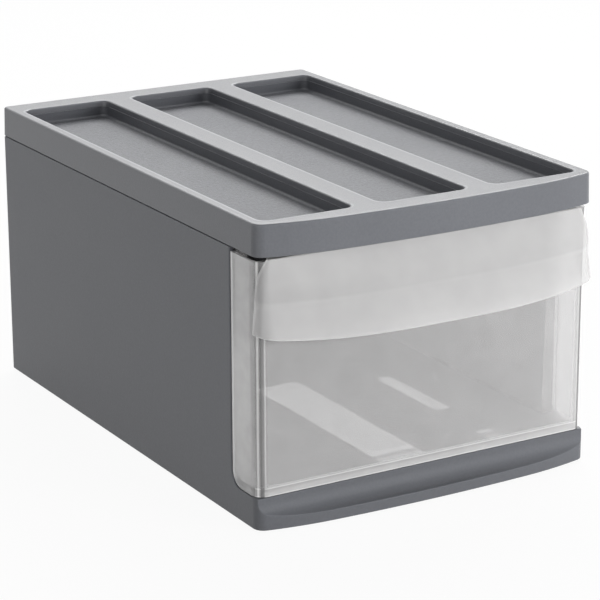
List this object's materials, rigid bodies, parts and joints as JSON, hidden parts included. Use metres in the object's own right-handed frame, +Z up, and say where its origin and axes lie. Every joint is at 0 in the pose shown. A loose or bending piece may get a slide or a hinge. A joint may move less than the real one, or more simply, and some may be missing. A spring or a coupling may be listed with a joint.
{
  "type": "stackable drawer box",
  "caption": "Stackable desktop drawer box: dark grey casing and troughed top cover, clear drawer with a frosted hood as its handle, sized for document sheets and craft parts.",
  "frame": {"origin": "middle of the footprint, on the surface the box stands on", "axes": "+Z up; the drawer opens towards -Y; +X to the right seen from the front"},
  "size_m": [0.2578, 0.395, 0.203],
  "materials": {
    "dark_grey": "fine moulded grain",
    "clear": "clear moulded plastic, slightly milky",
    "frosted": "frosted translucent plastic"
  },
  "bodies": {
    "casing": {"casing": "dark_grey", "top_cover": "dark_grey"},
    "drawer": {"drawer": "clear", "handle_hood": "frosted"}
  },
  "joints": [
    {"name": "drawer_slide", "type": "slide", "parent": "casing", "child": "drawer", "axis": [0, -1, 0], "range_m": [0, 0.27]}
  ]
}
